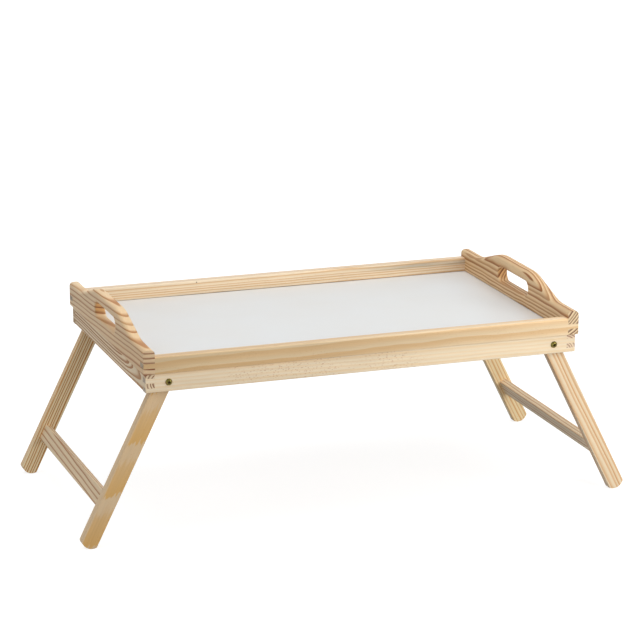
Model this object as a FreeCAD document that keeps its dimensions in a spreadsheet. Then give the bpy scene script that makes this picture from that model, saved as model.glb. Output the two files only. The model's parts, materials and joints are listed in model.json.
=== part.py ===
"""Folding bed tray in pine: a serving tray on a lower frame that houses two folding leg frames.

The origin is on the floor under the middle of the tray, X runs along the tray from the left
end to the right, Y runs from front to back and Z is up. The legs are modelled open.
"""
import FreeCAD, Part
import Sketcher
import math
import os

# Driving dimensions in millimetres, and angles in degrees.
SIZES = {
    # upper frame: two shaped end boards and two rails round the panel
    "tray_length": 560.0,
    "tray_width": 350.0,
    "board_thick": 14.0,
    "rail_height": 21.0,
    "rail_round": 2.5,
    "ear_rise": 9.0,
    "crown_rise": 30.0,
    "crown_half": 51.0,
    "ramp_end": 121.0,
    "sweep_radius": 90.0,
    "top_round": 5.0,
    # hand slot, a long hole with round ends
    "slot_length": 96.0,
    "slot_high": 19.0,
    "slot_centre": 27.0,
    "slot_round": 3.0,
    # finger joints of the upper frame, from the bottom up
    "upper_finger_low": 7.5,
    "upper_finger_mid": 6.0,
    # tray panel in the rebate under the upper frame, resting on the lower frame
    "panel_thick": 3.0,
    "rebate_high": 3.2,
    "rebate_deep": 5.0,
    "panel_slack": 0.3,
    # lower frame
    "floor_to_frame": 191.0,
    "lower_height": 23.0,
    "lower_inset": 3.0,
    "lower_rail_thick": 12.0,
    "lower_end_thick": 11.0,
    "lower_finger_edge": 5.5,
    "lower_finger_mid": 6.0,
    "arris": 1.0,
    # leg frames
    "pivot_from_end": 31.5,
    "pivot_rise": 11.5,
    "splay": 26.4,
    "leg_wide": 21.0,
    "leg_thick": 12.0,
    "leg_gap": 1.2,
    "foot_radius": 13.0,
    "leg_round": 1.2,
    "stretcher_high": 20.0,
    "stretcher_thick": 10.0,
    "stretcher_drop": 167.0,
    "stretcher_round": 1.0,
    "dowel_radius": 2.5,
    "dowel_length": 18.0,
    "dowel_in_leg": 7.0,
    "dowel_pitch": 10.0,
    "dowel_bevel": 0.6,
    # pivot screws and washers
    "screw_radius": 2.0,
    "screw_core": 1.45,
    "screw_length": 21.5,
    "screw_plain": 13.6,
    "screw_pitch": 1.5,
    "screw_point": 2.4,
    "head_radius": 4.2,
    "head_high": 2.6,
    "head_gap": 0.1,
    "recess_span": 4.4,
    "recess_wide": 0.9,
    "recess_deep": 1.5,
    "pivot_clearance": 0.1,
    "washer_thick": 1.0,
    "washer_outer": 5.0,
    "washer_inner": 2.2,
}

THREAD_TURNS = 3


class Size:
    """A number together with the sheet formula that it comes from."""

    def __init__(self, value, text):
        self.value = value
        self.text = text

    def __add__(self, other):
        other = as_size(other)
        return Size(self.value + other.value, f"({self.text} + {other.text})")

    def __sub__(self, other):
        other = as_size(other)
        return Size(self.value - other.value, f"({self.text} - {other.text})")

    def __mul__(self, factor):
        return Size(self.value * factor, f"({self.text} * {factor})")

    def __neg__(self):
        return self * -1


def as_size(number):
    if isinstance(number, Size):
        return number
    return Size(float(number), repr(float(number)))


def size(name):
    return Size(SIZES[name], f"sizes.{name}")


def bind(feature, path, length):
    """Drive one property of a feature from the sheet."""
    if "sizes." in length.text:
        feature.setExpression(path, length.text)


def make_sheet(doc):
    sheet = doc.addObject("Spreadsheet::Sheet", "sizes")
    for row, (name, number) in enumerate(SIZES.items(), start=1):
        sheet.set(f"A{row}", name)
        sheet.set(f"B{row}", str(number))
        sheet.setAlias(f"B{row}", name)
    doc.recompute()


# Places shared by several pieces.
HALF_LENGTH = size("tray_length") * 0.5
HALF_WIDTH = size("tray_width") * 0.5
LOWER_HALF_LENGTH = HALF_LENGTH - size("lower_inset")
LOWER_HALF_WIDTH = HALF_WIDTH - size("lower_inset")
UPPER_BASE = size("floor_to_frame") + size("lower_height")
PIVOT_X = HALF_LENGTH - size("pivot_from_end")
PIVOT_Z = size("floor_to_frame") + size("pivot_rise")
RAIL_INNER_Y = LOWER_HALF_WIDTH - size("lower_rail_thick")
LEG_OUTER_Y = RAIL_INNER_Y - size("leg_gap")
LEG_INNER_Y = LEG_OUTER_Y - size("leg_thick")
HEAD_SEAT_Y = LOWER_HALF_WIDTH + size("head_gap")
FOOT_CENTRE = Size(
    (PIVOT_Z.value - SIZES["foot_radius"]) / math.cos(math.radians(SIZES["splay"])),
    f"({PIVOT_Z.text} - sizes.foot_radius) / cos(sizes.splay * 1 deg)",
)


# Sketching helpers.
def add_sketch(body, name, plane):
    """A sketch on one of the body's own origin planes."""
    sketch = body.newObject("Sketcher::SketchObject", name)
    for feature in body.Origin.OriginFeatures:
        if feature.Role == plane:
            sketch.AttachmentSupport = [(feature, "")]
    sketch.MapMode = "FlatFace"
    return sketch


def hold_point(sketch, geometry, end, x, y):
    """Fix a point's distances from the origin and drive them from the sheet."""
    for kind, length in (("DistanceX", x), ("DistanceY", y)):
        length = as_size(length)
        index = sketch.addConstraint(
            Sketcher.Constraint(kind, -1, 1, geometry, end, length.value))
        bind(sketch, f"Constraints[{index}]", length)


def corner_arc(before, corner, after, radius):
    """Where an arc of this radius leaves and meets the two sides of a corner, and its centre."""
    to_before = (before - corner).normalize()
    to_after = (after - corner).normalize()
    half_angle = to_before.getAngle(to_after) / 2
    reach = radius / math.tan(half_angle)
    middle = (to_before + to_after).normalize() * (radius / math.sin(half_angle))
    return corner + to_before * reach, corner + to_after * reach, corner + middle


def draw_outline(sketch, corners):
    """Draw a closed outline through corners (x, y) or (x, y, radius of the rounded corner)."""
    corners = [tuple(as_size(number) for number in corner) for corner in corners]
    points = [FreeCAD.Vector(corner[0].value, corner[1].value, 0) for corner in corners]
    count = len(points)
    starts, ends, arcs = list(points), list(points), {}
    for i, corner in enumerate(corners):
        if len(corner) == 3:
            before, after = points[i - 1], points[(i + 1) % count]
            arrive, leave, centre = corner_arc(before, points[i], after, corner[2].value)
            ends[i], starts[i] = arrive, leave
            turns_left = (points[i] - before).cross(after - points[i]).z > 0
            first, last = (arrive, leave) if turns_left else (leave, arrive)
            circle = Part.Circle(centre, FreeCAD.Vector(0, 0, 1), corner[2].value)
            arc = Part.ArcOfCircle(circle, circle.parameter(first), circle.parameter(last))
            arcs[i] = (sketch.addGeometry(arc), turns_left)
    lines = []
    for i in range(count):
        segment = Part.LineSegment(starts[i], ends[(i + 1) % count])
        lines.append(sketch.addGeometry(segment))
    for i, corner in enumerate(corners):
        line_in, line_out = lines[i - 1], lines[i]
        if i not in arcs:
            sketch.addConstraint(Sketcher.Constraint("Coincident", line_in, 2, line_out, 1))
            hold_point(sketch, line_out, 1, corner[0], corner[1])
            continue
        arc, turns_left = arcs[i]
        near, far = (1, 2) if turns_left else (2, 1)
        mark = sketch.addGeometry(Part.Point(points[i]), True)
        hold_point(sketch, mark, 1, corner[0], corner[1])
        sketch.addConstraint(Sketcher.Constraint("PointOnObject", mark, 1, line_in))
        sketch.addConstraint(Sketcher.Constraint("PointOnObject", mark, 1, line_out))
        sketch.addConstraint(Sketcher.Constraint("Tangent", line_in, 2, arc, near))
        sketch.addConstraint(Sketcher.Constraint("Tangent", arc, far, line_out, 1))
        index = sketch.addConstraint(Sketcher.Constraint("Radius", arc, corner[2].value))
        bind(sketch, f"Constraints[{index}]", corner[2])


def draw_circle(sketch, x, y, radius):
    centre = FreeCAD.Vector(as_size(x).value, as_size(y).value, 0)
    circle = sketch.addGeometry(Part.Circle(centre, FreeCAD.Vector(0, 0, 1), radius.value))
    hold_point(sketch, circle, 3, x, y)
    index = sketch.addConstraint(Sketcher.Constraint("Radius", circle, radius.value))
    bind(sketch, f"Constraints[{index}]", radius)


def draw_slot(sketch, half_span, y, radius):
    """A long hole along the sketch's x, with round ends centred on -half_span and half_span."""
    up = FreeCAD.Vector(0, 0, 1)
    ends = []
    for side, turn in ((1, -90), (-1, 90)):
        centre = FreeCAD.Vector(side * half_span.value, y.value, 0)
        circle = Part.Circle(centre, up, radius.value)
        start = math.radians(turn)
        ends.append(sketch.addGeometry(Part.ArcOfCircle(circle, start, start + math.pi)))
        hold_point(sketch, ends[-1], 3, half_span * side, y)
    right, left = ends
    low = FreeCAD.Vector(0, y.value - radius.value, 0)
    high = FreeCAD.Vector(0, y.value + radius.value, 0)
    span = FreeCAD.Vector(half_span.value, 0, 0)
    bottom = sketch.addGeometry(Part.LineSegment(low - span, low + span))
    top = sketch.addGeometry(Part.LineSegment(high + span, high - span))
    for one, one_end, other, other_end in (
            (bottom, 2, right, 1), (right, 2, top, 1), (top, 2, left, 1), (left, 2, bottom, 1)):
        sketch.addConstraint(Sketcher.Constraint("Tangent", one, one_end, other, other_end))
    index = sketch.addConstraint(Sketcher.Constraint("Radius", right, radius.value))
    bind(sketch, f"Constraints[{index}]", radius)


# Solid helpers.
def add_body(doc, name):
    body = doc.addObject("PartDesign::Body", name)
    body.Label = name
    return body


def add_pad(body, sketch, length, reverse=False, both_ways=False):
    pad = body.newObject("PartDesign::Pad", f"{body.Name}_pad")
    pad.Profile = sketch
    pad.Length = length.value
    bind(pad, "Length", length)
    pad.Reversed = reverse
    pad.Midplane = both_ways
    sketch.Visibility = False
    body.Document.recompute()
    return pad


def add_pocket(body, sketch, depth, reverse=False):
    """Cut a sketch into the body, and stop if the cut misses it."""
    volume = body.Shape.Volume
    pocket = body.newObject("PartDesign::Pocket", f"{sketch.Name}_cut")
    pocket.Profile = sketch
    pocket.Length = depth.value
    bind(pocket, "Length", depth)
    pocket.Reversed = reverse
    sketch.Visibility = False
    body.Document.recompute()
    if body.Shape.Volume > volume - 0.5:
        raise RuntimeError(f"{pocket.Name} cuts nothing")
    return pocket


def round_edges(body, radius, wanted):
    """Round every edge of the body whose middle point passes the test."""
    base = body.Tip
    names = []
    for number, edge in enumerate(base.Shape.Edges, start=1):
        middle = edge.valueAt((edge.FirstParameter + edge.LastParameter) / 2)
        if wanted(middle, edge):
            names.append(f"Edge{number}")
    if not names:
        raise RuntimeError(f"{body.Name} has no edges to round")
    fillet = body.newObject("PartDesign::Fillet", f"{base.Name}_round")
    fillet.Base = (base, names)
    fillet.Radius = radius.value
    bind(fillet, "Radius", radius)
    body.Document.recompute()


def place(part, x, y, z, axis=FreeCAD.Vector(0, 0, 1), angle=0):
    """Set a piece in its place, with its coordinates and its turn driven from the sheet."""
    x, y, z, angle = (as_size(number) for number in (x, y, z, angle))
    turn = FreeCAD.Rotation(axis, angle.value)
    part.Placement = FreeCAD.Placement(FreeCAD.Vector(x.value, y.value, z.value), turn)
    bind(part, "Placement.Base.x", x)
    bind(part, "Placement.Base.y", y)
    bind(part, "Placement.Base.z", z)
    bind(part, "Placement.Rotation.Angle", angle * 1)


def close_to(one, other):
    return abs(one - other) < 0.01


def mirrored(half):
    """The right half of an outline, bottom to top, followed by its mirror image."""
    left = [(-corner[0],) + tuple(corner[1:]) for corner in reversed(half)]
    return half + left


# Upper frame.
def add_rebate(body, name, plane, length):
    """The step along a board's lower inner edge that takes the edge of the panel."""
    rebate = add_sketch(body, f"{name}_rebate", plane)
    inner_face = size("board_thick")
    step = inner_face - size("rebate_deep")
    draw_outline(rebate, [
        (step, 0),
        (inner_face, 0),
        (inner_face, size("rebate_high")),
        (step, size("rebate_high")),
    ])
    return add_pocket(body, rebate, length)


def make_end_board(doc, name, side):
    """Shaped end board: fingers at its ends, hand slot, panel rebate and a rounded top."""
    body = add_body(doc, name)
    shoulder = HALF_WIDTH - size("board_thick")
    finger_low = size("upper_finger_low")
    finger_top = finger_low + size("upper_finger_mid")
    ear = size("rail_height") + size("ear_rise")
    crown = size("rail_height") + size("crown_rise")
    sketch = add_sketch(body, f"{name}_face", "YZ_Plane")
    draw_outline(sketch, mirrored([
        (HALF_WIDTH, 0),
        (HALF_WIDTH, finger_low),
        (shoulder, finger_low),
        (shoulder, finger_top),
        (HALF_WIDTH, finger_top),
        (HALF_WIDTH, ear),
        (size("ramp_end"), ear, size("sweep_radius")),
        (size("crown_half"), crown, size("sweep_radius")),
    ]))
    slot_end = size("slot_high") * 0.5
    draw_slot(sketch, size("slot_length") * 0.5 - slot_end, size("slot_centre"), slot_end)
    add_pad(body, sketch, size("board_thick"))

    cut = add_rebate(body, name, "XZ_Plane", (shoulder + size("rebate_deep")) * 2)
    cut.Midplane = True
    doc.recompute()

    thick = SIZES["board_thick"]
    rail_top = SIZES["rail_height"]
    half_width = HALF_WIDTH.value
    slot_limit = SIZES["slot_length"] / 2 + 0.01
    slot_low = SIZES["slot_centre"] - SIZES["slot_high"] / 2 - 0.01
    slot_top = SIZES["slot_centre"] + SIZES["slot_high"] / 2 + 0.01

    def on_face(point):
        return close_to(point.x, 0) or close_to(point.x, thick)

    def on_slot(point):
        return abs(point.y) < slot_limit and slot_low < point.z < slot_top

    def top_edge(point, edge):
        above_rail = point.z > rail_top + 1 and abs(point.y) < half_width - 0.01
        return on_face(point) and above_rail and not on_slot(point)

    def slot_edge(point, edge):
        return on_face(point) and on_slot(point)

    round_edges(body, size("top_round"), top_edge)
    round_edges(body, size("slot_round"), slot_edge)
    place(body, HALF_LENGTH * side, 0, UPPER_BASE, angle=0 if side < 0 else 180)
    return body


def make_upper_rail(doc, name, side):
    """Long rail of the tray: one finger at each end, a panel rebate and a rounded top."""
    body = add_body(doc, name)
    shoulder = HALF_LENGTH - size("board_thick")
    finger_low = size("upper_finger_low")
    finger_top = finger_low + size("upper_finger_mid")
    sketch = add_sketch(body, f"{name}_face", "XZ_Plane")
    draw_outline(sketch, mirrored([
        (shoulder, 0),
        (shoulder, finger_low),
        (HALF_LENGTH, finger_low),
        (HALF_LENGTH, finger_top),
        (shoulder, finger_top),
        (shoulder, size("rail_height")),
    ]))
    add_pad(body, sketch, size("board_thick"), reverse=True)

    cut = add_rebate(body, name, "YZ_Plane", shoulder * 2)
    cut.Midplane = True
    doc.recompute()

    rail_top = SIZES["rail_height"]

    def top_edge(point, edge):
        return close_to(point.z, rail_top) and close_to(point.x, 0)

    round_edges(body, size("rail_round"), top_edge)
    place(body, 0, HALF_WIDTH * side, UPPER_BASE, angle=0 if side < 0 else 180)
    return body


def make_tray_panel(doc):
    """Thin white-faced panel in the rebates of all four boards, on top of the lower frame."""
    body = add_body(doc, "tray_panel")
    reach = size("rebate_deep") - size("board_thick") - size("panel_slack")
    half_x = HALF_LENGTH + reach
    half_y = HALF_WIDTH + reach
    sketch = add_sketch(body, "panel_face", "XY_Plane")
    draw_outline(sketch, [
        (-half_x, -half_y),
        (half_x, -half_y),
        (half_x, half_y),
        (-half_x, half_y),
    ])
    add_pad(body, sketch, size("panel_thick"))
    place(body, 0, 0, UPPER_BASE)
    return body


# Lower frame.
def make_lower_rail(doc, name, side):
    """Long rail of the lower frame: two fingers at each end and a hole for each pivot screw."""
    body = add_body(doc, name)
    shoulder = LOWER_HALF_LENGTH - size("lower_end_thick")
    first = size("lower_finger_edge")
    second = first + size("lower_finger_mid")
    third = second + size("lower_finger_mid")
    sketch = add_sketch(body, f"{name}_face", "XZ_Plane")
    draw_outline(sketch, mirrored([
        (LOWER_HALF_LENGTH, 0),
        (LOWER_HALF_LENGTH, first),
        (shoulder, first),
        (shoulder, second),
        (LOWER_HALF_LENGTH, second),
        (LOWER_HALF_LENGTH, third),
        (shoulder, third),
        (shoulder, size("lower_height")),
    ]))
    add_pad(body, sketch, size("lower_rail_thick"), reverse=True)
    holes = add_sketch(body, f"{name}_holes", "XZ_Plane")
    hole_radius = size("screw_radius") + size("pivot_clearance")
    for end in (-1, 1):
        draw_circle(holes, PIVOT_X * end, size("pivot_rise"), hole_radius)
    add_pocket(body, holes, size("lower_rail_thick"))

    def bottom_edge(point, edge):
        return close_to(point.z, 0) and close_to(point.x, 0)

    round_edges(body, size("arris"), bottom_edge)
    place(body, 0, LOWER_HALF_WIDTH * side, size("floor_to_frame"), angle=0 if side < 0 else 180)
    return body


def make_lower_end(doc, name, side):
    """Short piece of the lower frame. The open legs rest on its sharp inner lower edge."""
    body = add_body(doc, name)
    shoulder = LOWER_HALF_WIDTH - size("lower_rail_thick")
    first = size("lower_finger_edge")
    second = first + size("lower_finger_mid")
    third = second + size("lower_finger_mid")
    sketch = add_sketch(body, f"{name}_face", "YZ_Plane")
    draw_outline(sketch, mirrored([
        (shoulder, 0),
        (shoulder, first),
        (LOWER_HALF_WIDTH, first),
        (LOWER_HALF_WIDTH, second),
        (shoulder, second),
        (shoulder, third),
        (LOWER_HALF_WIDTH, third),
        (LOWER_HALF_WIDTH, size("lower_height")),
    ]))
    add_pad(body, sketch, size("lower_end_thick"))

    def outer_bottom_edge(point, edge):
        return close_to(point.z, 0) and close_to(point.x, 0)

    round_edges(body, size("arris"), outer_bottom_edge)
    place(body, LOWER_HALF_LENGTH * side, 0, size("floor_to_frame"), angle=0 if side < 0 else 180)
    return body


# Leg frames. Each piece is drawn about the pivot axis with the leg hanging straight down,
# and is then turned out by the splay angle.
def place_on_pivot(part, end, y):
    place(part, PIVOT_X * end, y, PIVOT_Z, FreeCAD.Vector(0, -end, 0), size("splay"))


def make_leg(doc, name, end, side):
    """Flat leg: round head about the pivot, rounded foot, screw hole and two dowel holes."""
    body = add_body(doc, name)
    half = size("leg_wide") * 0.5
    foot = size("foot_radius")
    sketch = add_sketch(body, f"{name}_face", "XZ_Plane")
    draw_leg_outline(sketch, half, foot)
    inward = side < 0
    add_pad(body, sketch, size("leg_thick"), reverse=inward)

    def long_edge(point, edge):
        return edge.Length > 50

    round_edges(body, size("leg_round"), long_edge)
    screw_hole = add_sketch(body, f"{name}_screw_hole", "XZ_Plane")
    draw_circle(screw_hole, 0, 0, size("screw_radius"))
    hole_depth = size("screw_length") - size("lower_rail_thick") - size("leg_gap")
    add_pocket(body, screw_hole, hole_depth, reverse=not inward)
    dowel_holes = add_sketch(body, f"{name}_dowel_holes", "XZ_Plane")
    for offset in (-0.5, 0.5):
        drop = size("stretcher_drop") + size("dowel_pitch") * offset
        draw_circle(dowel_holes, 0, -drop, size("dowel_radius"))
    shift = size("leg_thick") * (-1 if inward else 1)
    dowel_holes.AttachmentOffset = FreeCAD.Placement(
        FreeCAD.Vector(0, 0, shift.value), FreeCAD.Rotation())
    bind(dowel_holes, "AttachmentOffset.Base.z", shift)
    add_pocket(body, dowel_holes, size("dowel_in_leg"), reverse=inward)
    place_on_pivot(body, end, LEG_OUTER_Y * side)
    return body


def draw_leg_outline(sketch, half, foot):
    """A half circle about the pivot, two straight sides and a flatter arc for the foot."""
    up = FreeCAD.Vector(0, 0, 1)
    head = sketch.addGeometry(Part.ArcOfCircle(
        Part.Circle(FreeCAD.Vector(0, 0, 0), up, half.value), 0, math.pi))
    foot_middle = FreeCAD.Vector(0, -FOOT_CENTRE.value, 0)
    swing = math.acos(half.value / foot.value)
    toe = sketch.addGeometry(Part.ArcOfCircle(
        Part.Circle(foot_middle, up, foot.value), math.pi + swing, 2 * math.pi - swing))
    toe_height = -FOOT_CENTRE.value - foot.value * math.sin(swing)
    sides = []
    for x in (-half.value, half.value):
        top = FreeCAD.Vector(x, 0, 0)
        bottom = FreeCAD.Vector(x, toe_height, 0)
        sides.append(sketch.addGeometry(Part.LineSegment(top, bottom)))
    left, right = sides
    sketch.addConstraint(Sketcher.Constraint("Coincident", head, 3, -1, 1))
    sketch.addConstraint(Sketcher.Constraint("Tangent", head, 1, right, 1))
    sketch.addConstraint(Sketcher.Constraint("Tangent", head, 2, left, 1))
    sketch.addConstraint(Sketcher.Constraint("Vertical", left))
    sketch.addConstraint(Sketcher.Constraint("Vertical", right))
    sketch.addConstraint(Sketcher.Constraint("Coincident", left, 2, toe, 1))
    sketch.addConstraint(Sketcher.Constraint("Coincident", right, 2, toe, 2))
    index = sketch.addConstraint(Sketcher.Constraint("Radius", head, half.value))
    bind(sketch, f"Constraints[{index}]", half)
    index = sketch.addConstraint(Sketcher.Constraint("Radius", toe, foot.value))
    bind(sketch, f"Constraints[{index}]", foot)
    hold_point(sketch, toe, 3, 0, -FOOT_CENTRE)


def make_stretcher(doc, name, end):
    """Bar between the two legs of a frame, with two dowel holes in each end."""
    body = add_body(doc, name)
    half_x = size("stretcher_thick") * 0.5
    half_z = size("stretcher_high") * 0.5
    drop = size("stretcher_drop")
    sketch = add_sketch(body, f"{name}_section", "XZ_Plane")
    draw_outline(sketch, [
        (-half_x, -drop - half_z),
        (half_x, -drop - half_z),
        (half_x, -drop + half_z),
        (-half_x, -drop + half_z),
    ])
    add_pad(body, sketch, LEG_INNER_Y * 2, both_ways=True)

    def long_edge(point, edge):
        return edge.Length > 50

    round_edges(body, size("stretcher_round"), long_edge)
    for side, label in ((-1, "front"), (1, "rear")):
        holes = add_sketch(body, f"{name}_{label}_holes", "XZ_Plane")
        for offset in (-0.5, 0.5):
            draw_circle(holes, 0, -(drop + size("dowel_pitch") * offset), size("dowel_radius"))
        shift = LEG_INNER_Y * -side
        holes.AttachmentOffset = FreeCAD.Placement(
            FreeCAD.Vector(0, 0, shift.value), FreeCAD.Rotation())
        bind(holes, "AttachmentOffset.Base.z", shift)
        hole_depth = size("dowel_length") - size("dowel_in_leg")
        add_pocket(body, holes, hole_depth, reverse=side > 0)
    place_on_pivot(body, end, 0)
    return body


def make_dowels(doc, name, end, side):
    """The two bevelled dowels between a leg and its stretcher."""
    pair = []
    for number, offset in enumerate((-0.5, 0.5), start=1):
        pin = doc.addObject("Part::Cylinder", f"{name}_pin_{number}")
        pin.Radius = SIZES["dowel_radius"]
        bind(pin, "Radius", size("dowel_radius"))
        pin.Height = SIZES["dowel_length"]
        bind(pin, "Height", size("dowel_length"))
        drop = size("stretcher_drop") + size("dowel_pitch") * offset
        start = LEG_INNER_Y + size("dowel_in_leg")
        lie_down = FreeCAD.Vector(side, 0, 0)
        place(pin, 0, start * side, -drop, lie_down, 90)
        doc.recompute()
        bevel = doc.addObject("Part::Chamfer", f"{name}_bevel_{number}")
        bevel.Base = pin
        width = SIZES["dowel_bevel"]
        bevel.Edges = [(1, width, width), (3, width, width)]
        pin.Visibility = False
        pair.append(bevel)
    group = doc.addObject("Part::Compound", name)
    group.Label = name
    group.Links = pair
    place_on_pivot(group, end, 0)
    doc.recompute()
    return group


# Pivot hardware, turned about the Y axis and pointing from the outside inwards.
def make_pivot_screw(doc, name, end, side):
    """Domed cross-head screw: plain shank in the rail, thread and point in the leg."""
    body = add_body(doc, name)
    shank = size("screw_radius")
    core = size("screw_core")
    head = size("head_radius")
    high = size("head_high")
    plain = size("screw_plain")
    pitch = size("screw_pitch")
    length = size("screw_length") + size("head_gap")
    profile = [(0, high), (head * 0.45, high * 0.9), (head * 0.8, high * 0.58)]
    profile += [(head, high * 0.12), (head, 0), (shank, 0), (shank, -plain)]
    for turn in range(THREAD_TURNS):
        root = plain + pitch * (turn + 0.5)
        crest = plain + pitch * (turn + 1)
        profile += [(core, -root), (shank, -crest)]
    profile += [(core, -(length - size("screw_point"))), (0, -length)]
    outward = side
    sketch = add_sketch(body, f"{name}_profile", "XY_Plane")
    draw_outline(sketch, [(x, y * outward) for x, y in profile])
    turning = body.newObject("PartDesign::Revolution", f"{name}_turning")
    turning.Profile = sketch
    turning.ReferenceAxis = (sketch, ["V_Axis"])
    turning.Angle = 360
    doc.recompute()
    recess = add_sketch(body, f"{name}_recess", "XZ_Plane")
    arm = size("recess_span") * 0.5
    half = size("recess_wide") * 0.5
    quarter = [(arm, half), (half, half), (half, arm)]
    draw_outline(recess, [
        point
        for sign_x, sign_y, order in ((1, 1, 1), (-1, 1, -1), (-1, -1, 1), (1, -1, -1))
        for point in [(x * sign_x, y * sign_y) for x, y in quarter[::order]]
    ])
    shift = high * -outward
    recess.AttachmentOffset = FreeCAD.Placement(
        FreeCAD.Vector(0, 0, shift.value), FreeCAD.Rotation())
    bind(recess, "AttachmentOffset.Base.z", shift)
    add_pocket(body, recess, size("recess_deep"), reverse=side > 0)
    place_on_pivot(body, end, HEAD_SEAT_Y * side)
    return body


def make_washer(doc, name, end, side):
    """Flat ring between the rail and the leg, lying on the leg."""
    body = add_body(doc, name)
    sketch = add_sketch(body, f"{name}_ring", "XZ_Plane")
    draw_circle(sketch, 0, 0, size("washer_outer"))
    draw_circle(sketch, 0, 0, size("washer_inner"))
    add_pad(body, sketch, size("washer_thick"), reverse=side > 0)
    place_on_pivot(body, end, LEG_OUTER_Y * side)
    return body


def build(doc):
    parts = [make_tray_panel(doc)]
    for side, end_name, rail_name in ((-1, "left", "front"), (1, "right", "rear")):
        parts.append(make_end_board(doc, f"{end_name}_end_board", side))
        parts.append(make_upper_rail(doc, f"{rail_name}_rail", side))
        parts.append(make_lower_end(doc, f"lower_{end_name}_end", side))
        parts.append(make_lower_rail(doc, f"lower_{rail_name}_rail", side))
    for end, end_name in ((-1, "left"), (1, "right")):
        parts.append(make_stretcher(doc, f"{end_name}_stretcher", end))
        for side, side_name in ((-1, "front"), (1, "rear")):
            parts.append(make_leg(doc, f"{end_name}_{side_name}_leg", end, side))
            parts.append(make_dowels(doc, f"{end_name}_{side_name}_dowels", end, side))
            parts.append(make_pivot_screw(
                doc, f"{side_name}_{end_name}_pivot_screw", end, side))
            parts.append(make_washer(doc, f"{side_name}_{end_name}_washer", end, side))
    return parts


def check(doc, parts):
    for feature in doc.Objects:
        if "Invalid" in feature.State or "Error" in feature.State:
            raise RuntimeError(f"{feature.Name} failed: {feature.State}")
    for part in parts:
        if part.Shape.isNull() or not part.Shape.isValid():
            raise RuntimeError(f"{part.Label} has no valid shape")


def main():
    doc = FreeCAD.newDocument("bed_tray")
    make_sheet(doc)
    parts = build(doc)
    doc.recompute()
    check(doc, parts)
    os.makedirs("parts", exist_ok=True)
    for part in parts:
        part.Shape.exportStep(os.path.join("parts", f"{part.Label}.step"))
        box = part.Shape.BoundBox
        print(f"{part.Label}: {len(part.Shape.Solids)} solid(s), "
              f"{part.Shape.Volume / 1000:.1f} cm3, "
              f"x {box.XMin:.1f} {box.XMax:.1f}, y {box.YMin:.1f} {box.YMax:.1f}, "
              f"z {box.ZMin:.1f} {box.ZMax:.1f}")


main()
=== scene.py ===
# %% [markdown]
# A folding bed tray in lacquered pine, photographed on white. The tray's boards, leg frames,
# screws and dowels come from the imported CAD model, which this script dresses. Every board gets
# smooth shading, broken edges and its own cut of pine. The panel gets its white face, and the
# screws get their yellow zinc. Nothing in the CAD model is moved, so each finished piece stands
# exactly where its node stands.

# %% Load the frame
import json
import math

import bmesh
import bpy
from mathutils import Euler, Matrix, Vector

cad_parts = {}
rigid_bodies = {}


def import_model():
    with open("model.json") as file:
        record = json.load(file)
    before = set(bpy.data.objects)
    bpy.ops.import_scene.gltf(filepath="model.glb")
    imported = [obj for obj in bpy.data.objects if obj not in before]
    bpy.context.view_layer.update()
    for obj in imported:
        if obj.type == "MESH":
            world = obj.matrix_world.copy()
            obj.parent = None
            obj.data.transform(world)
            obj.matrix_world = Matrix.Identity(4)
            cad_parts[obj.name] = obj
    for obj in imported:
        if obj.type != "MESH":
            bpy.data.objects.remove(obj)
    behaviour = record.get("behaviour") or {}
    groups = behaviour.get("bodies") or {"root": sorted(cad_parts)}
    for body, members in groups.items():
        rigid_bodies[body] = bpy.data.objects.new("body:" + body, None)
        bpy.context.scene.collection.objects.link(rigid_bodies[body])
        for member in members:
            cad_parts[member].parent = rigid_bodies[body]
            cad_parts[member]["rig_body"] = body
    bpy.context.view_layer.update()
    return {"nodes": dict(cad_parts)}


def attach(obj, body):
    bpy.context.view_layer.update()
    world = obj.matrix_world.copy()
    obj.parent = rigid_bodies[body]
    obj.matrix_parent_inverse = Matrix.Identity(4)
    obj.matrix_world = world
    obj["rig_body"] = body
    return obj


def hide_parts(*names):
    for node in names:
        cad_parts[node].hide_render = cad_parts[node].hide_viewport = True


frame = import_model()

MM = 0.001

# %% [markdown]
# The camera comes first, because it decides how large each detail has to be. The photograph was
# taken from a little left of the front and about 15 degrees above the tray, with a long lens
# from far away. A camera on a circle round the tray needs only four numbers: how far it is
# turned to the side, how high it looks from, how far away it is, and its lens.

# %% Camera at the photograph's angle
CAMERA_YAW = 19.38
CAMERA_RISE = 15.02
CAMERA_DISTANCE = 3419.8 * MM
CAMERA_TARGET = Vector((1.4, 0, 212.5)) * MM
CAMERA_LENS = 151.63  # millimetres, for a film of this width
FILM_WIDTH = 36
FARTHEST_SEEN = 50  # metres

yaw, rise = math.radians(CAMERA_YAW), math.radians(CAMERA_RISE)
towards_camera = Vector((
    -math.sin(yaw) * math.cos(rise), -math.cos(yaw) * math.cos(rise), math.sin(rise)))
camera_data = bpy.data.cameras.new("photo_camera")
camera_data.lens = CAMERA_LENS
camera_data.sensor_width = FILM_WIDTH
camera_data.clip_end = FARTHEST_SEEN
camera = bpy.data.objects.new("photo_camera", camera_data)
camera.location = CAMERA_TARGET + towards_camera * CAMERA_DISTANCE
camera.rotation_euler = (-towards_camera).to_track_quat("-Z", "Y").to_euler()
bpy.context.scene.collection.objects.link(camera)
bpy.context.scene.camera = camera
print("camera at", [round(number, 3) for number in camera.location])

# %% [markdown]
# A few helpers are enough for every material. One turns an sRGB colour, as it is picked on a
# screen, into the linear numbers that a shader works with. One turns the size of a pattern,
# measured in millimetres on real wood or paint, into the scale that a texture asks for.


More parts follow.
